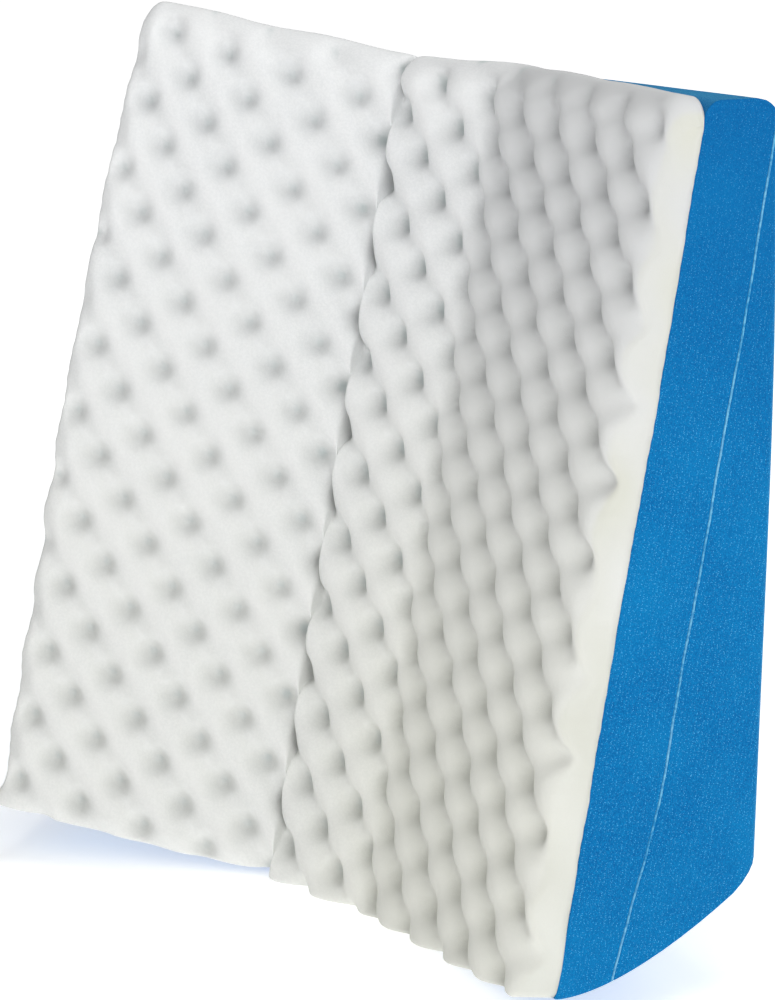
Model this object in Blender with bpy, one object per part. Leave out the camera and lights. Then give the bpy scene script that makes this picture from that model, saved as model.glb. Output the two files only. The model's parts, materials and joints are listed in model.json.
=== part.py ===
"""Folding foam bed wedge with an egg-crate topper.

Three foam columns stand side by side: a narrow centre and two wide wings. Each column is a front
slab, a glue film and a rear wedge, with a segment of the convoluted topper on its sloping face.
The wings are folded forward about lines that run down the slope, so the face is concave.

Slope coordinates, in metres: s runs across the face, t down the slope from the top edge, and d
backwards from the front of the core, so the topper lies at negative d. World: +Z up, and the face
looks towards -Y.
"""

import bmesh
import bpy
from math import ceil, cos, floor, pi, radians, sin, tan
from mathutils import Matrix, Vector

# Across the face. The left wing is a little wider at the bottom.
CENTRE_WIDTH = 0.124
LEFT_WIDTH = 0.242
LEFT_WIDENING = (-0.010, 0.005)
RIGHT_WIDTH = 0.244
SLIT_HALF_GAP = 0.0005

# Down the slope: where the face starts and how far it stops short of its full length, at the outer
# left end, at the two folds and at the outer right end
SLOPE_LENGTH = 0.680
FACE_TOPS = (-0.006, 0.008, 0.007, 0.026)
FACE_ENDS = (0.014, 0.0, 0.0, 0.006)
CORE_TOP = 0.016
LEVEL_CUT = 0.20

# Depth of the core
SLAB_THICKNESS = 0.060
CORE_DEPTH_AT_TOP = 0.0585
BACK_TAPER = 0.172
GAP = 0.0003
GLUE_THICKNESS = 0.0012

# The thick lower end is cut back in an arch, which climbs the slope with a power of the depth
ARCH_DEPTH = 0.190
ARCH_RISE = 0.138
ARCH_POWER = 1.57
ARCH_STEP = 0.015
FRONT_TOP_RADIUS = 0.012
REAR_TOP_RADIUS = 0.020
REAR_BOTTOM_RADIUS = 0.022
ARC_STEPS = 6
SETTLING_ROUNDS = 40

# Topper. Its lattice of dimples is counted across and down in pitches, and turned from the edges;
# the ridges between the peaks run one way, which RIDGE shares out.
PEAK_HEIGHT = 0.040
VALLEY_HEIGHT = 0.015
EDGE_HEIGHT = 0.030
PITCH_ACROSS = 0.0584
PITCH_DOWN = 0.0563
LATTICE_TURN = radians(7.4)
LATTICE_PHASE = (3.208, -2.529)
RIDGE = 0.62
ROUNDNESS = 1.5
GRID_STEP = 0.0112
END_FADE = 0.026
MOST_FOLD = radians(45.0)

# Stance
LEAN = radians(12.9)
LEFT_FOLD = radians(33.0)
RIGHT_FOLD = radians(18.0)

COLOURS = {
    "front_slab": (0.006, 0.205, 0.545, 1.0),
    "rear_wedge": (0.007, 0.190, 0.510, 1.0),
    "glue_line": (0.330, 0.600, 0.760, 1.0),
    "topper": (0.860, 0.850, 0.820, 1.0),
}
ROUGHNESS = {"front_slab": 0.95, "rear_wedge": 0.95, "glue_line": 0.6, "topper": 0.92}


def clear_scene():
    for obj in list(bpy.data.objects):
        bpy.data.objects.remove(obj, do_unlink=True)


def make_material(kind):
    material = bpy.data.materials.new(kind + "_foam")
    material.use_nodes = True
    shader = material.node_tree.nodes["Principled BSDF"]
    shader.inputs["Base Color"].default_value = COLOURS[kind]
    shader.inputs["Roughness"].default_value = ROUGHNESS[kind]
    shader.inputs["Metallic"].default_value = 0.0
    return material


def slope_frame():
    """Axes s, t and d of the centre column as the columns of a matrix."""
    across = Vector((1, 0, 0))
    down = Vector((0, -sin(LEAN), -cos(LEAN)))
    back = Vector((0, cos(LEAN), -sin(LEAN)))
    return Matrix((across, down, back)).transposed().to_4x4()


def fold_about(s, angle):
    """Turns a wing forward about the slope line at s, where the core's front faces meet."""
    hinge = Matrix.Translation((s, 0, 0))
    return hinge @ Matrix.Rotation(angle, 4, "Y") @ hinge.inverted()


def back_depth(t):
    return CORE_DEPTH_AT_TOP + BACK_TAPER * t


def rounded(before, corner, after, radius):
    """Points of an arc that rounds a corner of an outline, from the side of before to that of after."""
    corner = Vector(corner)
    inward = (Vector(before) - corner).normalized()
    outward = (Vector(after) - corner).normalized()
    half = inward.angle(outward) / 2
    reach = radius / tan(half)
    centre = corner + (inward + outward).normalized() * (radius / sin(half))
    start = corner + inward * reach - centre
    end = corner + outward * reach - centre
    turn = start.angle_signed(end)
    points = []
    for step in range(ARC_STEPS + 1):
        angle = -turn * step / ARC_STEPS
        points.append(centre + Matrix.Rotation(angle, 2) @ start)
    return [tuple(point) for point in points]


def arch_rise(d):
    """How far up the slope the lower end lies at a depth."""
    return ARCH_RISE * (d / ARCH_DEPTH) ** ARCH_POWER


def lower_end(bottom, first, last):
    """(d, t) points of the arched lower end, from the last depth forward to the first."""
    count = ceil((last - first) / ARCH_STEP)
    depths = [last + (first - last) * step / count for step in range(count + 1)]
    return [(d, bottom - arch_rise(d)) for d in depths]


def core_top(d, top):
    """The upper end of the core is cut level, so it climbs the slope towards the back."""
    return max(top, CORE_TOP) - LEVEL_CUT * d


def rear_arc(top, first, last):
    """Points of the rounded rear top corner between two depths, or where its circle ends."""
    level = Vector((-1.0, LEVEL_CUT)).normalized()
    steep = Vector((BACK_TAPER, 1.0)).normalized()
    half = level.angle(steep) / 2
    # The corner is where the level top meets the sloping back.
    depth = (CORE_DEPTH_AT_TOP + BACK_TAPER * core_top(0.0, top)) / (1 + BACK_TAPER * LEVEL_CUT)
    corner = Vector((depth, core_top(depth, top)))
    centre = corner + (level + steep).normalized() * (REAR_TOP_RADIUS / sin(half))
    start = corner + level * (REAR_TOP_RADIUS / tan(half))
    end = corner + steep * (REAR_TOP_RADIUS / tan(half))
    first = max(first, start.x)
    last = min(last, end.x)
    points = []
    for step in range(ARC_STEPS + 1):
        d = first + (last - first) * step / ARC_STEPS
        points.append((d, centre.y - max(REAR_TOP_RADIUS**2 - (d - centre.x) ** 2, 0.0) ** 0.5))
    return points


def slab_outline(top, bottom):
    """(d, t) corners of the front slab."""
    front_top = (0.0, core_top(0.0, top))
    rear_top = (SLAB_THICKNESS, core_top(SLAB_THICKNESS, top))
    front_bottom = (0.0, bottom)
    outline = rounded(front_bottom, front_top, rear_top, FRONT_TOP_RADIUS)
    outline += rear_arc(top, 0.0, SLAB_THICKNESS)
    return outline + lower_end(bottom, 0.0, SLAB_THICKNESS)


def wedge_outline(top, bottom):
    """(d, t) corners of the rear wedge, a thin edge at the top and the cut-back end at the bottom."""
    front = SLAB_THICKNESS + GLUE_THICKNESS + 2 * GAP
    outline = rear_arc(top, front, SLOPE_LENGTH)
    # The back meets the arch where both have the same place down the slope.
    rear = bottom
    for _ in range(SETTLING_ROUNDS):
        rear = bottom - arch_rise(back_depth(rear))
    rear_bottom = (back_depth(rear), rear)
    arch = lower_end(bottom, front, rear_bottom[0] - REAR_BOTTOM_RADIUS)
    return outline + rounded(outline[-1], rear_bottom, arch[0], REAR_BOTTOM_RADIUS) + arch


def film_outline(top, bottom):
    """(d, t) corners of the glue film between slab and wedge."""
    front = SLAB_THICKNESS + GAP
    rear = front + GLUE_THICKNESS
    start = rear_arc(top, rear + GAP, SLOPE_LENGTH)[0][1] + GLUE_THICKNESS
    end = bottom - arch_rise(front) - GLUE_THICKNESS
    return [(front, start), (rear, start), (rear, end), (front, end)]


def loft(first, second, s_first, s_second):
    """A closed bmesh between an outline at one s and the outline with as many points at another."""
    mesh = bmesh.new()
    ends = []
    for outline, s in ((first, s_first), (second, s_second)):
        ends.append([mesh.verts.new((s, t, d)) for d, t in outline])
    count = len(first)
    for i in range(count):
        j = (i + 1) % count
        mesh.faces.new((ends[0][i], ends[0][j], ends[1][j], ends[1][i]))
    mesh.faces.new(list(reversed(ends[0])))
    mesh.faces.new(ends[1])
    return mesh


def fade(distance, over):
    """0 at an edge and 1 once the distance from it reaches over, with a smooth rise between."""
    x = min(max(distance / over, 0.0), 1.0)
    return x * x * (3 - 2 * x)


def crate_height(s, t, from_top):
    """Height of the egg-crate face: dimples and peaks in a diamond lattice, turned from the edges."""
    across = (s * cos(LATTICE_TURN) + t * sin(LATTICE_TURN)) / PITCH_ACROSS + LATTICE_PHASE[0]
    down = (t * cos(LATTICE_TURN) - s * sin(LATTICE_TURN)) / PITCH_DOWN + LATTICE_PHASE[1]
    wave = RIDGE * cos(2 * pi * (down - across)) + (1 - RIDGE) * cos(2 * pi * (down + across))
    share = 1 - ((1 + wave) / 2) ** ROUNDNESS
    height = VALLEY_HEIGHT + (PEAK_HEIGHT - VALLEY_HEIGHT) * share
    return EDGE_HEIGHT + (height - EDGE_HEIGHT) * fade(from_top, END_FADE)


def topper_mesh(s_left, s_right, mitre_left, mitre_right, trim_at):
    """A topper segment: flat back, mitred sides that stay clear in the most folded pose."""
    inset = PEAK_HEIGHT * tan(MOST_FOLD / 2)
    low = s_left + (inset if mitre_left else 0.0)
    high = s_right - (inset if mitre_right else 0.0)
    columns = max(2, round((high - low) / GRID_STEP))
    rows = floor(SLOPE_LENGTH / GRID_STEP)
    mesh = bmesh.new()
    grid = []
    for row in range(rows + 1):
        line = []
        for column in range(columns + 1):
            s = low + (high - low) * column / columns
            top, bottom = trim_at(s)
            t = top + (bottom - top) * row / rows
            line.append(mesh.verts.new((s, t, -GAP - crate_height(s, t, t - top))))
        grid.append(line)
    back = []
    for s in (s_left, s_right):
        top, bottom = trim_at(s)
        back.append([mesh.verts.new((s, t, -GAP)) for t in (top, bottom)])
    for row in range(rows):
        for column in range(columns):
            mesh.faces.new((grid[row][column], grid[row][column + 1],
                            grid[row + 1][column + 1], grid[row + 1][column]))
    (left_top, left_bottom), (right_top, right_bottom) = back
    mesh.faces.new([line[0] for line in grid] + [left_bottom, left_top])
    mesh.faces.new([line[-1] for line in reversed(grid)] + [right_top, right_bottom])
    mesh.faces.new(list(reversed(grid[0])) + [left_top, right_top])
    mesh.faces.new(grid[-1] + [right_bottom, left_bottom])
    mesh.faces.new((left_top, left_bottom, right_bottom, right_top))
    return mesh


def add_node(name, mesh, kind, placement, collection, materials):
    bmesh.ops.transform(mesh, matrix=placement, verts=mesh.verts)
    bmesh.ops.triangulate(mesh, faces=mesh.faces)
    bmesh.ops.recalc_face_normals(mesh, faces=mesh.faces)
    if mesh.calc_volume(signed=True) < 0:
        bmesh.ops.reverse_faces(mesh, faces=mesh.faces)
    data = bpy.data.meshes.new(name)
    mesh.to_mesh(data)
    mesh.free()
    data.materials.append(materials[kind])
    obj = bpy.data.objects.new(name, data)
    collection.objects.link(obj)
    return obj


def trim_between(s_left, s_right, left, right):
    """Top and bottom edge of a column at s, between stations left and right of the face."""
    def at(s):
        share = (s - s_left) / (s_right - s_left)
        top = FACE_TOPS[left] + (FACE_TOPS[right] - FACE_TOPS[left]) * share
        end = FACE_ENDS[left] + (FACE_ENDS[right] - FACE_ENDS[left]) * share
        return top, SLOPE_LENGTH - end
    return at


def widen_left(mesh, at_top, at_bottom):
    """Leans the outer side of the left wing out by one distance at the top and another at the bottom."""
    for vert in mesh.verts:
        outward = -CENTRE_WIDTH / 2 - vert.co.x
        widening = at_top + (at_bottom - at_top) * vert.co.y / SLOPE_LENGTH
        vert.co.x -= widening * outward / LEFT_WIDTH


def build_column(
    name, s_left, s_right, trim_at, mitres, fold, collection, materials, widening=(0.0, 0.0)
):
    placement = slope_frame() @ fold
    tops = [trim_at(s) for s in (s_left, s_right)]
    nodes = []
    for kind, outline in (
        ("front_slab", slab_outline),
        ("rear_wedge", wedge_outline),
        ("glue_line", film_outline),
    ):
        mesh = loft(outline(*tops[0]), outline(*tops[1]), s_left, s_right)
        widen_left(mesh, *widening)
        nodes.append(add_node(f"{name}_{kind}", mesh, kind, placement, collection, materials))
    mesh = topper_mesh(s_left, s_right, mitres[0], mitres[1], trim_at)
    widen_left(mesh, *widening)
    nodes.append(add_node(f"{name}_topper", mesh, "topper", placement, collection, materials))
    return nodes


def stand_on_floor(nodes):
    """Moves every node so that the object's box stands on the ground, centred on the origin."""
    corners = [vert.co for obj in nodes for vert in obj.data.vertices]
    low = Vector(min(corner[i] for corner in corners) for i in range(3))
    high = Vector(max(corner[i] for corner in corners) for i in range(3))
    shift = Matrix.Translation((-(low.x + high.x) / 2, -(low.y + high.y) / 2, -low.z))
    for obj in nodes:
        obj.data.transform(shift)


def main():
    clear_scene()
    collection = bpy.data.collections.new("bed_wedge")
    bpy.context.scene.collection.children.link(collection)
    materials = {kind: make_material(kind) for kind in COLOURS}
    half = CENTRE_WIDTH / 2
    left_outer = -half - LEFT_WIDTH
    right_outer = half + RIGHT_WIDTH
    nodes = build_column(
        "centre", -half + SLIT_HALF_GAP, half - SLIT_HALF_GAP, trim_between(-half, half, 1, 2),
        (True, True), Matrix.Identity(4), collection, materials,
    )
    nodes += build_column(
        "left_wing", left_outer, -half - SLIT_HALF_GAP, trim_between(left_outer, -half, 0, 1),
        (False, True), fold_about(-half, -LEFT_FOLD), collection, materials, LEFT_WIDENING,
    )
    nodes += build_column(
        "right_wing", half + SLIT_HALF_GAP, right_outer, trim_between(half, right_outer, 2, 3),
        (True, False), fold_about(half, RIGHT_FOLD), collection, materials,
    )
    stand_on_floor(nodes)


main()
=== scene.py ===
"""Looks of the folding foam bed wedge: egg-crate topper, blue foam core, studio."""
import json
from math import cos, pi, radians, sin

import bpy
import numpy as np
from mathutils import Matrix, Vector


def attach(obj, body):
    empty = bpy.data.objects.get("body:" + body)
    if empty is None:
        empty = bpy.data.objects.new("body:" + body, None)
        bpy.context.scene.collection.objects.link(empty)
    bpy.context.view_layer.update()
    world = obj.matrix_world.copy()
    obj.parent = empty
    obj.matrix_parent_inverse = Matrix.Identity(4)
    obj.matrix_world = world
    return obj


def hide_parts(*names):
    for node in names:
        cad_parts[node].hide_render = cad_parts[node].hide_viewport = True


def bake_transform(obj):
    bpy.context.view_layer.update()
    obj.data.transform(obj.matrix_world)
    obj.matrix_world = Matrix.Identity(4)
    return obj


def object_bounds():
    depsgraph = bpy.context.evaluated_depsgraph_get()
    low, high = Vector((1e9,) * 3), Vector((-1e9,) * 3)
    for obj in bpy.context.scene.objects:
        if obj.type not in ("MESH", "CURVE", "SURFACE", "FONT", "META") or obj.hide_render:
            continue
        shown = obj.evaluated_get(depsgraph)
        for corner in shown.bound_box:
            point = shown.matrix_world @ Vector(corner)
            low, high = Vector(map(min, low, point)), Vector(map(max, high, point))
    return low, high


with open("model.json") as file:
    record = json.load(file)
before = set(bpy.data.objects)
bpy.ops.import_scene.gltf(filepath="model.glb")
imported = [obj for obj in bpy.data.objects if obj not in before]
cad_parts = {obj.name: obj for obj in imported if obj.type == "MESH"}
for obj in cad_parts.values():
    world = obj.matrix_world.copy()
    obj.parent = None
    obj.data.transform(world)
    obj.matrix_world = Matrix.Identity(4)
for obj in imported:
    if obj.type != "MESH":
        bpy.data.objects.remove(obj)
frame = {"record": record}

CAD_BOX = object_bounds()

# ---- The slope frame: s across, t down the slope, d backwards from the core's front, in metres ----
JOINTS = {joint["name"]: joint for joint in frame["record"]["behaviour"]["joints"]}
DOWN = -Vector(JOINTS["left_fold"]["axis"]).normalized()
LEFT_HINGE = Vector(JOINTS["left_fold"]["pos_m"])
RIGHT_HINGE = Vector(JOINTS["right_fold"]["pos_m"])
ACROSS = (RIGHT_HINGE - LEFT_HINGE).normalized()
BACK = ACROSS.cross(DOWN)
MIDDLE = (LEFT_HINGE + RIGHT_HINGE) / 2
HALF = (RIGHT_HINGE - LEFT_HINGE).length / 2
# The wings lie flat at the low end of each joint's range, and rest is 0.
LEFT_FOLD = radians(-JOINTS["left_fold"]["range_deg"][0])
RIGHT_FOLD = radians(-JOINTS["right_fold"]["range_deg"][0])
LENGTH = 0.680
ORIGIN = MIDDLE - DOWN * (LENGTH / 2)

# ---- The outline of the face ----
LEFT_WIDTH = 0.242
RIGHT_WIDTH = 0.244
S_LEFT = -HALF - LEFT_WIDTH
S_RIGHT = HALF + RIGHT_WIDTH
# At the two sides and the two folds: how far down the slope the sheet and the core start, and how far
# short of the lower end both of them stop.
STATIONS = (S_LEFT, -HALF, HALF, S_RIGHT)
TOPS = (-0.006, 0.008, 0.006, 0.022)
CORE_TOPS = (0.016, 0.016, 0.015, 0.023)
BOTTOMS = (0.014, 0.0, 0.0, 0.006)
# The left edge starts inside the straight line and bows outward over the upper part of the slope.
BOW_AT_TOP = -0.016
BOW_BELOW = 0.0045
BOW_LENGTH = 0.38
BOW_WIDTH = 0.13
# The glued face is a little uneven.
FACE_WAVE = 0.0012
# The sheet bends over these widths at rest. FOLD_ZONE is a wider band around each fold.
LEFT_BEND = 0.032
RIGHT_BEND = 0.044
FOLD_ZONE = 0.060

# ---- The core ----
SLAB_THICKNESS = 0.0602
CORE_DEPTH_AT_TOP = 0.0585
BACK_TAPER = 0.1655
BACK_CROWN = 0.005
FILM_THICKNESS = 0.0016
THINNEST = 0.0006
SLIT = 0.0012
# Near the lower end the cut between slab and wedge drifts forward.
DRIFT = 0.018
DRIFT_START = 0.50
DRIFT_END = 0.70
# The upper end is cut level, so it climbs the slope towards the back.
LEVEL_CUT = 0.20
# The thick lower end is cut back in an arch, which climbs the slope with a power of the depth.
ARCH_DEPTH = 0.190
ARCH_RISE = 0.138
ARCH_POWER = 1.57
# Radii of the core's edges, and of the fine rounding on every block.
TOP_FRONT_RADIUS = 0.012
TOP_REAR_RADIUS = 0.020
LOW_REAR_RADIUS = 0.022
SIDE_REAR_RADIUS = 0.006
BLOCK_RADIUS = 0.0008
# The ends follow the depth, and the depth follows the place down the slope: settled in rounds.
SETTLING_ROUNDS = 4

# ---- The egg-crate ----
# The lattice of dimples: rows from the middle of the face to its ends and to LATTICE_REACH at its sides,
# how far the rows are turned there, and the row that passes the middle.
LATTICE_REACH = 0.3
ROWS_DOWN = 6.0
ROWS_ACROSS = 4.95
TURN_DOWN = 0.54
TURN_ACROSS = 0.845
MIDDLE_DOWN = 0.457
MIDDLE_ACROSS = 0.996
# How far the soft sheet was pulled out of line, in rows, when it was glued on: towards its sides, in its
# four corners (by a share of that down the slope), along its top and bottom, and here and there.
SIDE_PULL = 0.17
CORNER_PULL = 0.195
CORNER_SHARE_DOWN = 0.4
END_PULL = 0.14
STRAY_PULL = 0.010
# Heights over the core: the peaks, the dimples, the level that a shallower crate nears, and the edges.
PEAK = 0.0410
VALLEY = 0.0130
LEVEL = 0.0260
EDGE = 0.0300
SHEET_WAVE = 0.0010
# How deep the troughs between ridges are, as a share of a dimple, how far the ridges dip beside each
# dimple, and how full the peaks are.
TROUGH = 0.53
RIDGE_DIP = 0.15
ROUND = 1.35
# The shares by which the left wing's troughs, the right wing's dimples and the right edge are shallower.
LEFT_FLATTER = 0.24
RIGHT_FLATTER = 0.30
TRIMMED_FLATTER = 0.30
# The crate fades out over the top margin, and partly at the left edge and the left wing's lower end.
TOP_MARGIN = 0.030
LEFT_MARGIN = 0.016
LOW_MARGIN = 0.014
# The sharper left fold pinches the sheet, most of all where a dimple lies on it.
PINCH_WIDTH = 0.0060
PINCH = 0.05
PINCH_IN_DIMPLE = 0.38
# Radii of the sheet's edges towards the core, and of its corners as seen from the front.
TOP_RADIUS = 0.020
BOTTOM_RADIUS = 0.004
LEFT_RADIUS = 0.006
RIGHT_RADIUS = 0.0085
TOP_LEFT_CORNER = 0.012
TOP_RIGHT_CORNER = 0.020
LOW_RIGHT_CORNER = 0.006
# The lower left corner flares out.
FLARE = 0.010
FLARE_HEIGHT = 0.012
# The sheet's back stands this far off the core.
GLUE_GAP = 0.0004

# ---- The grids ----
SHEET_GRID = 0.0030
SHEET_LAYERS = 4
CORE_GRID = 0.008
CORE_GRID_DEPTH = 0.06
# Extra grid lines inside an edge, as distances from it.
RIMS = (0.0002, 0.0012, 0.0028, 0.0055)
TOP_RIMS = (0.0005, 0.002, 0.004, 0.008, 0.013, 0.020)
MEETING_RIMS = (0.0003, 0.0009, 0.0020)
BLOCK_RIMS = tuple(BLOCK_RADIUS * share for share in (0.15, 0.5, 1.0, 2.5, 5.0, 9.0, 14.0))
# A finer band of grid lines along each fold, and the clear strip that it is set in.
BAND_REACH = 0.0135
BAND_CLEAR = 0.0148
BAND_LINES = 19

GOLDEN_ANGLE = 2.399963


def fade(x, start, end):
    """0 at start, 1 at end, and smooth between them; end may be the lower of the two."""
    x = np.clip((x - start) / (end - start), 0.0, 1.0)
    return x * x * (3 - 2 * x)


def hump(x, width):
    return np.exp(-((x / width) ** 2))


def over_edge(x, radius):
    """How far a surface drops at x from an edge rounded with that radius."""
    x = np.clip(x, 0, radius)
    return radius - np.sqrt(np.maximum(radius**2 - (radius - x) ** 2, 0))


def wobble(s, t, scale, seed):
    """Smooth noise in about -1 to 1 from five crossed waves; scale is the wavelength in metres."""
    total = 0.0
    for n in range(5):
        angle = GOLDEN_ANGLE * (n + 1) + seed
        size = 2 * pi / (scale * (0.75 + 0.17 * n))
        total = total + np.sin((s * cos(angle) + t * sin(angle)) * size + 1.7 * seed + 2.1 * n)
    return total / 3.0


# ---- From the slope to the world ----
def to_world(s, t, d):
    s, t, d = np.broadcast_arrays(s, t, d)
    axes = np.array([ACROSS, DOWN, BACK], float)
    return np.array(ORIGIN, float) + np.stack([s, t, d], -1) @ axes


def turned(s, d, hinge, angle):
    x = s - hinge
    return hinge + x * np.cos(angle) + d * np.sin(angle), d * np.cos(angle) - x * np.sin(angle)


def folded(s, t, d, soft=False):
    """Slope coordinates laid flat to the world in the rest pose. A soft sheet bends over a short zone."""
    bow = BOW_AT_TOP + (BOW_BELOW - BOW_AT_TOP) * np.sin(pi / 2 * np.clip(t / BOW_LENGTH, 0, 1))
    s = s - bow * fade(s, S_LEFT + BOW_WIDTH, S_LEFT)
    d = d + FACE_WAVE * wobble(s, t, 0.42, 0.4)
    if soft:
        left = fade(s, -HALF + LEFT_BEND / 2, -HALF - LEFT_BEND / 2)
        right = fade(s, HALF - RIGHT_BEND / 2, HALF + RIGHT_BEND / 2)
    else:
        left = (s < -HALF).astype(float)
        right = (s > HALF).astype(float)
    hinge = np.where(s < 0, -HALF, HALF)
    s, d = turned(s, d, hinge, right * RIGHT_FOLD - left * LEFT_FOLD)
    return to_world(s, t, d)


def ends_at(s):
    """Top and bottom edge of the face at s."""
    return np.interp(s, STATIONS, TOPS), LENGTH - np.interp(s, STATIONS, BOTTOMS)


# ---- Meshes ----
def shell(nx, ny, nz):
    """Grid keys and outward quads of the surface of a block of nx by ny by nz cells."""
    keys = {}

    def key(i, j, k):
        return keys.setdefault((i, j, k), len(keys))

    quads = []
    for i in range(nx):
        for j in range(ny):
            quads.append((key(i, j, 0), key(i + 1, j, 0), key(i + 1, j + 1, 0), key(i, j + 1, 0)))
            quads.append((key(i, j, nz), key(i, j + 1, nz), key(i + 1, j + 1, nz), key(i + 1, j, nz)))
    for i in range(nx):
        for k in range(nz):
            quads.append((key(i, 0, k), key(i, 0, k + 1), key(i + 1, 0, k + 1), key(i + 1, 0, k)))
            quads.append((key(i, ny, k), key(i + 1, ny, k), key(i + 1, ny, k + 1), key(i, ny, k + 1)))
    for j in range(ny):
        for k in range(nz):
            quads.append((key(0, j, k), key(0, j + 1, k), key(0, j + 1, k + 1), key(0, j, k + 1)))
            quads.append((key(nx, j, k), key(nx, j, k + 1), key(nx, j + 1, k + 1), key(nx, j + 1, k)))
    return np.array(list(keys)), quads


def make_object(name, points, quads, material, attributes=None):
    mesh = bpy.data.meshes.new(name)
    mesh.from_pydata([tuple(p) for p in points], [], quads)
    for key, values in (attributes or {}).items():
        layer = mesh.attributes.new(key, "FLOAT", "POINT")
        layer.data.foreach_set("value", np.asarray(values, np.float32))
    mesh.polygons.foreach_set("use_smooth", [True] * len(mesh.polygons))
    mesh.materials.append(material)
    mesh.update()
    obj = bpy.data.objects.new(name, mesh)
    bpy.context.scene.collection.objects.link(obj)
    return obj


def face_out(obj):
    """Turns every face over if the closed mesh is inside out."""
    mesh = obj.data
    mesh.calc_loop_triangles()
    points = np.array([v.co for v in mesh.vertices])
    corners = points[np.array([tri.vertices[:] for tri in mesh.loop_triangles])]
    corners = corners - points.mean(0)
    if np.linalg.det(corners).sum() < 0:
        mesh.flip_normals()


def steps(low, high, spacing, rims_low, rims_high):
    """Grid lines from low to high: even, with extra ones at the given distances inside either end."""
    first = low + max(rims_low)
    last = high - max(rims_high)
    count = max(1, round((last - first) / spacing))
    lines = set(np.round(np.linspace(first, last, count + 1), 7))
    lines |= {round(low, 7), round(high, 7)}
    lines |= {round(low + e, 7) for e in rims_low} | {round(high - e, 7) for e in rims_high}
    return np.array(sorted(lines))


def rounded_block(size):
    """Points of a block with rounded edges as shares of its size, and its quads."""
    size = np.array(size, float)
    lines = [steps(0, size[n], CORE_GRID, BLOCK_RIMS, BLOCK_RIMS) for n in range(3)]
    keys, quads = shell(*[len(line) - 1 for line in lines])
    points = np.stack([lines[n][keys[:, n]] for n in range(3)], 1)
    core = np.clip(points, BLOCK_RADIUS, size - BLOCK_RADIUS)
    out = points - core
    length = np.linalg.norm(out, axis=1, keepdims=True)
    points = core + BLOCK_RADIUS * out / np.maximum(length, 1e-9)
    return points / size, quads


# ---- Shader nodes ----
def add_node(tree, kind, inputs, **settings):
    """A shader node with its settings. Each input is a constant, or the socket that feeds it."""
    node = tree.nodes.new("ShaderNode" + kind)
    for name, value in settings.items():
        setattr(node, name, value)
    for name, value in inputs.items():
        if isinstance(value, bpy.types.NodeSocket):
            tree.links.new(value, node.inputs[name])
        else:
            node.inputs[name].default_value = value
    return node


def ramp(tree, value, low, high, low_out=0.0, high_out=1.0):
    limits = {"From Min": low, "From Max": high, "To Min": low_out, "To Max": high_out}
    node = add_node(tree, "MapRange", {"Value": value, **limits}, interpolation_type="SMOOTHSTEP")
    return node.outputs["Result"]


def mixed(tree, factor, first, second):
    # On a Mix node of colours the factor is input 0, the colours are 6 and 7, and the result is output 2.
    return add_node(tree, "Mix", {0: factor, 6: first, 7: second}, data_type="RGBA").outputs[2]


def times(tree, first, second):
    return add_node(tree, "Math", {0: first, 1: second}, operation="MULTIPLY").outputs[0]


# ---- Materials ----
GLINT_COLOUR = (0.12, 0.52, 0.84, 1.0)
SHEEN_TINT = (0.20, 0.75, 1.0, 1.0)


def painted_glints(tree, place, scale):
    """Painted glints: rare bright cell walls that catch the light."""
    points = add_node(tree, "TexVoronoi", {"Vector": place, "Scale": scale})
    chosen = add_node(tree, "SeparateColor", {"Color": points.outputs["Color"]})
    near = ramp(tree, points.outputs["Distance"], 0.42, 0.10)
    rare = ramp(tree, chosen.outputs["Red"], 0.35, 1.0)
    return times(tree, near, rare)


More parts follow.
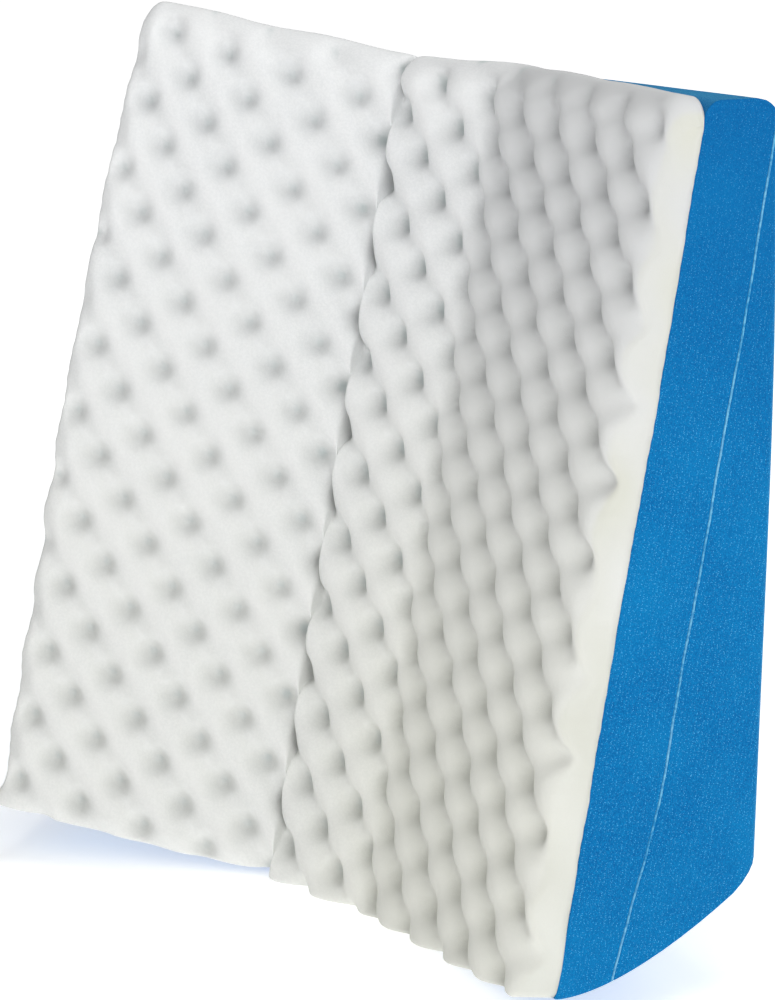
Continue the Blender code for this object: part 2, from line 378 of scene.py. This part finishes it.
def foam_material(name, base, light, dark, cell, bump, glint=0.0, sheen=0.0, top_shade=0.0, tones=None):
    """Open-cell foam: mottled cells, fine pores in relief, and tones carried by the mesh.

    cell is the density of the pores, speck the strength of the painted glints, and deep how far painted
    shade darkens the colour towards the top. tones gives the colour that each attribute of the mesh tints
    towards.
    """
    material = bpy.data.materials.new(name)
    material.use_nodes = True
    tree = material.node_tree
    shader = tree.nodes["Principled BSDF"]
    shader.inputs["Roughness"].default_value = 0.95
    shader.inputs["Specular IOR Level"].default_value = 0.08
    shader.inputs["Sheen Weight"].default_value = sheen
    shader.inputs["Sheen Roughness"].default_value = 0.4
    shader.inputs["Sheen Tint"].default_value = SHEEN_TINT
    coords = add_node(tree, "TexCoord", {})
    place = coords.outputs["Object"]

    cells = add_node(tree, "TexVoronoi", {"Vector": place, "Scale": cell})
    pores = ramp(tree, cells.outputs["Distance"], 0.05, 0.62)
    fine = {"Vector": place, "Scale": cell * 0.55, "Detail": 3.0, "Roughness": 0.7}
    mottle = add_node(tree, "TexNoise", fine).outputs["Fac"]
    broad = {"Vector": place, "Scale": 9.0, "Detail": 3.0, "Roughness": 0.6}
    clouds = add_node(tree, "TexNoise", broad).outputs["Fac"]

    colour = mixed(tree, ramp(tree, mottle, 0.36, 0.66), dark, base)
    colour = mixed(tree, ramp(tree, clouds, 0.35, 0.75, 0.0, 0.35), colour, light)
    # Painted glints: rare cell walls lightened towards a bright blue.
    if glint:
        amount = times(tree, painted_glints(tree, place, cell * 0.62), glint)
        colour = mixed(tree, amount, colour, GLINT_COLOUR)
    # Painted shade: the colour darkens towards the top of each block.
    if top_shade:
        height = add_node(tree, "SeparateXYZ", {"Vector": coords.outputs["Generated"]})
        colour = mixed(tree, ramp(tree, height.outputs["Z"], 0.50, 1.0, 0.0, top_shade), colour, dark)
    for tone, tint in (tones or {}).items():
        amount = add_node(tree, "Attribute", {}, attribute_name=tone).outputs["Fac"]
        colour = mixed(tree, amount, colour, tint)
    tree.links.new(colour, shader.inputs["Base Color"])

    relief = add_node(tree, "Bump", {"Strength": bump, "Distance": 0.0006, "Height": pores})
    under = {"Normal": relief.outputs["Normal"]}
    coarse = add_node(tree, "Bump", {"Strength": bump, "Distance": 0.0008, "Height": mottle, **under})
    tree.links.new(coarse.outputs["Normal"], shader.inputs["Normal"])
    return material


BLUE = foam_material(
    "blue_foam",
    base=(0.0020, 0.190, 0.470, 1.0), light=(0.004, 0.235, 0.530, 1.0), dark=(0.0008, 0.100, 0.320, 1.0),
    cell=1500.0, bump=0.34, glint=0.95, sheen=0.60, top_shade=0.50,
)
GLUE = foam_material(
    "glue_film",
    base=(0.130, 0.430, 0.650, 1.0), light=(0.340, 0.640, 0.800, 1.0), dark=(0.012, 0.210, 0.480, 1.0),
    cell=420.0, bump=0.3,
)
WHITE = foam_material(
    "white_foam",
    base=(0.790, 0.800, 0.802, 1.0), light=(0.820, 0.824, 0.820, 1.0), dark=(0.740, 0.752, 0.756, 1.0),
    cell=900.0, bump=0.14,
    tones={
        # shade is painted shade on the right wing.
        "shade": (0.612, 0.620, 0.624, 1.0),
        "warm": (0.760, 0.755, 0.600, 1.0),
        "tone": (0.620, 0.625, 0.560, 1.0),
        # pit is painted shade in the dimples, a little greener.
        "pit": (0.560, 0.610, 0.605, 1.0),
    },
)


# ---- The topper ----
def crate(s, t):
    """Share of the way from dimple to peak."""
    x = s / LATTICE_REACH
    y = 2 * t / LENGTH - 1
    down = MIDDLE_DOWN + ROWS_DOWN * y - TURN_DOWN * x
    down = down - SIDE_PULL * x**3 - CORNER_SHARE_DOWN * CORNER_PULL * x * y**2
    down = down + STRAY_PULL * wobble(s, t, 0.15, 1.3)
    across = MIDDLE_ACROSS + ROWS_ACROSS * x + TURN_ACROSS * y
    across = across + SIDE_PULL * x**3 + CORNER_PULL * x * y**2 - END_PULL * x**2 * y
    across = across + STRAY_PULL * wobble(s, t, 0.17, 4.1)
    # Ridges run from the upper left to the lower right. The troughs between them deepen into dimples, and
    # the ridges dip a little beside each dimple, hardly at all on the left wing.
    trough = 0.5 + 0.5 * np.cos(2 * pi * (down - across))
    beside = 0.5 + 0.5 * np.cos(2 * pi * (down + across))
    furrow = TROUGH * (1 - LEFT_FLATTER * fade(s, -HALF, -HALF - 0.05))
    dip = RIDGE_DIP * (0.15 + 0.85 * fade(s, -HALF, -HALF + 0.13))
    dimple = (1 - TROUGH) * (1 - RIGHT_FLATTER * fade(s, HALF - 0.02, HALF + 0.03))
    return 1 - trough * (furrow + dimple * beside**2) - dip * (1 - trough) * beside


def topper_height(s, t, top, bottom):
    """Height of the sheet over the core, and the share of the way from dimple to peak."""
    share = crate(s, t)
    # The crate is shallower towards the right edge, where the sheet was trimmed.
    shallow = 1 - TRIMMED_FLATTER * fade(s, S_RIGHT - 0.045, S_RIGHT)
    relief = VALLEY - LEVEL + (PEAK - VALLEY) * (1 - (1 - share) ** ROUND)
    height = LEVEL + relief * shallow + SHEET_WAVE * wobble(s, t, 0.09, 2.2)
    shown = fade(t, top, top + TOP_MARGIN) * (0.35 + 0.65 * fade(s, S_LEFT, S_LEFT + LEFT_MARGIN))
    shown = shown * (1 - 0.5 * fade(t, bottom - LOW_MARGIN, bottom) * (s < -HALF))
    height = EDGE + (height - EDGE) * shown
    height = height * (1 - hump(s + HALF, PINCH_WIDTH) * (PINCH + PINCH_IN_DIMPLE * (1 - share)))
    height = height - over_edge(t - top, TOP_RADIUS) - over_edge(bottom - t, BOTTOM_RADIUS)
    height = height - over_edge(s - S_LEFT, LEFT_RADIUS) - over_edge(S_RIGHT - s, RIGHT_RADIUS)
    return height, share


def sheet_ends(s):
    """Top and bottom edge of the sheet at s: the face's, with round corners and nicks at the left fold."""
    top, bottom = ends_at(s)
    top = top + over_edge(s - S_LEFT, TOP_LEFT_CORNER) + over_edge(S_RIGHT - s, TOP_RIGHT_CORNER)
    top = top + SHEET_WAVE * wobble(s, s, 0.11, 0.7) + 0.006 * hump(s + HALF, 0.004)
    bottom = bottom - over_edge(S_RIGHT - s, LOW_RIGHT_CORNER)
    bottom = bottom - 0.005 * hump(s + HALF, 0.05) * fade(s, -HALF + 0.002, -HALF - 0.002)
    return top, bottom


def sheet_tints(s, t, layer, share):
    """How strongly each tone of the white foam shows, painted shade among them."""
    # The cut right side is yellower in patches, and the dimples carry painted shade and are a little
    # greener.
    tone = 0.9 * fade(s, S_RIGHT - 0.0035, S_RIGHT - 0.0005)
    tone = tone * (0.55 + 0.45 * wobble(t, layer * 0.04, 0.10, 3.3))
    pit = fade(share, 0.24, 0.02) * (1 - 0.6 * fade(s + 0.5 * t, 0.05, 0.45))
    pit = pit * fade(s, S_RIGHT - 0.004, S_RIGHT - 0.028)
    # Painted shade greys the foam towards the upper right, and the foam is yellower towards the lower
    # right.
    shade = fade(s, HALF - 0.030, HALF + 0.025) * (1 - 0.35 * fade(t, 0.0, 0.5))
    warm = 0.35 * fade(t, 0.08, 0.58) * (0.4 + 0.6 * fade(s, -0.1, 0.1))
    return {"shade": shade, "warm": warm, "tone": tone, "pit": pit}


def mark_meeting_rim(obj, on_meeting):
    """Makes the rim of the face between the two halves sharp, so that the front runs on without a line."""
    side = [all(on_meeting[v] for v in polygon.vertices) for polygon in obj.data.polygons]
    kinds = {}
    for polygon in obj.data.polygons:
        for edge in polygon.edge_keys:
            kinds.setdefault(edge, set()).add(side[polygon.index])
    sharp = obj.data.attributes.new("sharp_edge", "BOOLEAN", "EDGE")
    sharp.data.foreach_set("value", [len(kinds[edge.key]) == 2 for edge in obj.data.edges])


def topper_piece(name, s_low, s_high, fold):
    """The sheet between s_low and s_high, one of which is the meeting line at 0."""
    rims = [MEETING_RIMS if end == 0 else RIMS for end in (s_low, s_high)]
    lines_s = steps(s_low, s_high, SHEET_GRID, *rims)
    lines_s = lines_s[np.abs(lines_s - fold) > BAND_CLEAR]
    band = np.linspace(fold - BAND_REACH, fold + BAND_REACH, BAND_LINES)
    lines_s = np.sort(np.append(lines_s, band))
    lines_t = steps(0.0, LENGTH, SHEET_GRID, TOP_RIMS, RIMS)
    layers = np.linspace(0.0, 1.0, SHEET_LAYERS + 1)
    keys, quads = shell(len(lines_s) - 1, len(lines_t) - 1, SHEET_LAYERS)
    on_meeting = lines_s[keys[:, 0]] == 0
    s = lines_s[keys[:, 0]]
    layer = layers[keys[:, 2]]
    top, bottom = sheet_ends(s)
    t = top + (bottom - top) * lines_t[keys[:, 1]] / LENGTH
    height, share = topper_height(s, t, top, bottom)
    # The cut faces are a little uneven, and the lower left corner flares out.
    left_side = fade(s, S_LEFT + 0.012, S_LEFT)
    right_side = fade(s, S_RIGHT - 0.008, S_RIGHT)
    wave = 0.0009 * wobble(t, layer * 0.02, 0.045, 6.0) + 0.0004 * wobble(t, layer * 0.02, 0.012, 2.0)
    s = s + wave * (right_side - left_side) - FLARE * hump(bottom - t, FLARE_HEIGHT) * left_side
    points = folded(s, t, -height * (1 - layer) - GLUE_GAP, soft=True)
    obj = make_object(name, points, quads, WHITE, sheet_tints(s, t, layer, share))
    mark_meeting_rim(obj, on_meeting)
    return obj


left_topper = topper_piece("topper_left", S_LEFT, 0.0, -HALF)
right_topper = topper_piece("topper_right", 0.0, S_RIGHT, HALF)
for piece in (left_topper, right_topper):
    face_out(piece)


# ---- The core's blocks ----
def back_depth(t):
    return CORE_DEPTH_AT_TOP + BACK_TAPER * t + BACK_CROWN * np.sin(pi * np.clip(t / LENGTH, 0, 1))


def joint_depth(s, t):
    """Depth of the cut between slab and wedge."""
    depth = SLAB_THICKNESS - DRIFT * fade(t, DRIFT_START, DRIFT_END)
    return depth + 0.0006 * wobble(t, s, 0.13, 2.7) + 0.0004 * wobble(t, s, 0.021, 5.2)


def slab_near(s, t):
    return np.zeros_like(t)


def slab_far(s, t):
    return np.minimum(joint_depth(s, t), back_depth(t))


def film_far(s, t):
    return np.minimum(joint_depth(s, t) + FILM_THICKNESS, back_depth(t))


def wedge_far(s, t):
    return back_depth(t)


def core_block(name, column, near_of, far_of, material):
    """A foam block across one column, between two depths that change down the slope."""
    s_low, s_high = column
    shares, quads = rounded_block((s_high - s_low, LENGTH, CORE_GRID_DEPTH))
    s = s_low + (s_high - s_low) * shares[:, 0]
    core_top = np.interp(s, STATIONS, CORE_TOPS)
    core_bottom = ends_at(s)[1]
    t = LENGTH * shares[:, 1]
    for _ in range(SETTLING_ROUNDS):
        near = near_of(s, t)
        far = np.maximum(far_of(s, t), near + THINNEST)
        d = near + (far - near) * shares[:, 2]
        behind = np.maximum(back_depth(t) - d, 0)
        start = core_top - LEVEL_CUT * d
        start = start + over_edge(d, TOP_FRONT_RADIUS) + over_edge(behind, TOP_REAR_RADIUS)
        arch = ARCH_RISE * (np.maximum(d, 0) / ARCH_DEPTH) ** ARCH_POWER
        end = core_bottom - arch - over_edge(behind, LOW_REAR_RADIUS)
        t = start + (end - start) * shares[:, 1]
    inset = over_edge(behind, SIDE_REAR_RADIUS)
    s = np.clip(s, s_low + inset, s_high - inset)
    obj = make_object(name, folded(s, t, d), quads, material)
    face_out(obj)
    return obj


# The core's outer sides stand out from the sheet's, a little more on the left.
COLUMNS = {
    "left_wing": (S_LEFT - 0.0015, -HALF - SLIT),
    "centre": (-HALF + SLIT, HALF - SLIT),
    "right_wing": (HALF + SLIT, S_RIGHT - 0.0005),
}
PARTS = (
    ("front_slab", "slab_foam", slab_near, slab_far, BLUE, "core_foam"),
    ("glue_line", "glue_film", joint_depth, film_far, GLUE, "adhesive"),
    ("rear_wedge", "wedge_foam", film_far, wedge_far, BLUE, "core_foam"),
)
for body, column in COLUMNS.items():
    for node, name, near_of, far_of, material, slot in PARTS:
        piece = core_block(f"{body}_{name}", column, near_of, far_of, material)
        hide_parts(f"{body}_{node}")
        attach(piece, body)

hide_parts("left_wing_topper", "centre_topper")
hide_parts("right_wing_topper")


def on_face(s):
    """A point at the back of the topper, halfway down the slope, in the rest pose."""
    return tuple(folded(np.array([s]), np.array([LENGTH / 2]), np.array([0.0]))[0])


on_face(-HALF + FOLD_ZONE / 2)
on_face(-HALF - FOLD_ZONE / 2)
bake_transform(left_topper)
on_face(HALF - FOLD_ZONE / 2)
on_face(HALF + FOLD_ZONE / 2)
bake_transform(right_topper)


# ---- The studio ----
FLOOR_REACH = 14.0
FLOOR_GAP = 0.0005
# Each lamp: azimuth from the front and elevation in degrees, distance, size, power in watts, and the
# height of the point that it shines on.
LAMPS = {
    "main": (52, 12, 3.2, 2.0, 20.0, 0.30),
    "low": (62, 3, 2.2, 1.6, 7.5, 0.08),
    "high": (90, 82, 2.6, 2.0, 24.0, 0.30),
    "left": (-40, 16, 3.2, 1.8, 2.5, 0.30),
    "rear": (150, 40, 3.6, 2.6, 34.0, 0.30),
}
# The room is brighter towards this azimuth.
ROOM_AZIMUTH = 75
CAMERA_AZIMUTH = 45.4
CAMERA_ELEVATION = 14.4
CAMERA_DISTANCE = 2.371
CAMERA_LENS = 108.0
# The point that the camera looks at, from the top of the face.
CAMERA_AIM = ORIGIN + Vector((-0.0002, -0.1043, -0.3437))


def link(obj):
    bpy.context.scene.collection.objects.link(obj)


def outward(azimuth, elevation=0.0):
    """Direction in degrees from the object: azimuth 0 is its front and 90 its right side."""
    azimuth, elevation = radians(azimuth), radians(elevation)
    return Vector((sin(azimuth) * cos(elevation), -cos(azimuth) * cos(elevation), sin(elevation)))


def aim(obj, target, out, distance):
    obj.location = target + out * distance
    obj.rotation_euler = (-out).to_track_quat("-Z", "Y").to_euler()
    link(obj)


def make_floor():
    material = bpy.data.materials.new("floor")
    material.use_nodes = True
    tree = material.node_tree
    shader = tree.nodes["Principled BSDF"]
    shader.inputs["Roughness"].default_value = 0.8
    grain = add_node(tree, "TexNoise", {"Scale": 3.0}).outputs["Fac"]
    tint = mixed(tree, grain, (0.90, 0.90, 0.90, 1.0), (0.93, 0.93, 0.93, 1.0))
    tree.links.new(tint, shader.inputs["Base Color"])
    # The floor is lit from within like a light table, more so further out, and stays near white.
    shader.inputs["Emission Color"].default_value = (1.0, 1.0, 1.0, 1.0)
    place = add_node(tree, "TexCoord", {}).outputs["Object"]
    distance = add_node(tree, "VectorMath", {0: place}, operation="LENGTH").outputs["Value"]
    tree.links.new(ramp(tree, distance, 0.5, 2.2, 0.50, 0.82), shader.inputs["Emission Strength"])
    mesh = bpy.data.meshes.new("floor")
    corners = [(x * FLOOR_REACH, y * FLOOR_REACH, 0) for x, y in ((-1, -1), (1, -1), (1, 1), (-1, 1))]
    mesh.from_pydata(corners, [], [(0, 1, 2, 3)])
    mesh.materials.append(material)
    floor = bpy.data.objects.new("floor", mesh)
    floor.location.z = CAD_BOX[0].z - FLOOR_GAP
    link(floor)


def make_lamps():
    for name, (azimuth, elevation, distance, size, power, height) in LAMPS.items():
        data = bpy.data.lights.new(name, "AREA")
        data.shape = "DISK"
        data.size = size
        data.energy = power
        lamp = bpy.data.objects.new(name, data)
        lamp.visible_camera = False
        aim(lamp, Vector((0, 0, height)), outward(azimuth, elevation), distance)


def make_room():
    """A soft room around the object, while the backdrop itself shows white."""
    world = bpy.data.worlds.new("studio")
    bpy.context.scene.world = world
    world.use_nodes = True
    tree = world.node_tree
    background = tree.nodes["Background"]
    background.inputs["Color"].default_value = (1.0, 1.0, 1.0, 1.0)
    direction = add_node(tree, "TexCoord", {}).outputs["Generated"]
    sides = {0: direction, 1: outward(ROOM_AZIMUTH)}
    towards = add_node(tree, "VectorMath", sides, operation="DOT_PRODUCT").outputs["Value"]
    brightness = {"Value": towards, "From Min": -1.0, "To Min": 0.10, "To Max": 0.52}
    room = add_node(tree, "MapRange", brightness).outputs["Result"]
    seen = add_node(tree, "LightPath", {}).outputs["Is Camera Ray"]
    strength = add_node(tree, "MapRange", {"Value": seen, "To Min": room, "To Max": 1.0})
    tree.links.new(strength.outputs["Result"], background.inputs["Strength"])
    bpy.context.scene.view_settings.view_transform = "Standard"


def make_camera():
    data = bpy.data.cameras.new("camera")
    data.lens = CAMERA_LENS
    data.sensor_width = 36.0
    camera = bpy.data.objects.new("camera", data)
    aim(camera, CAMERA_AIM, outward(CAMERA_AZIMUTH, CAMERA_ELEVATION), CAMERA_DISTANCE)
    bpy.context.scene.camera = camera


make_floor()
make_lamps()
make_room()
make_camera()
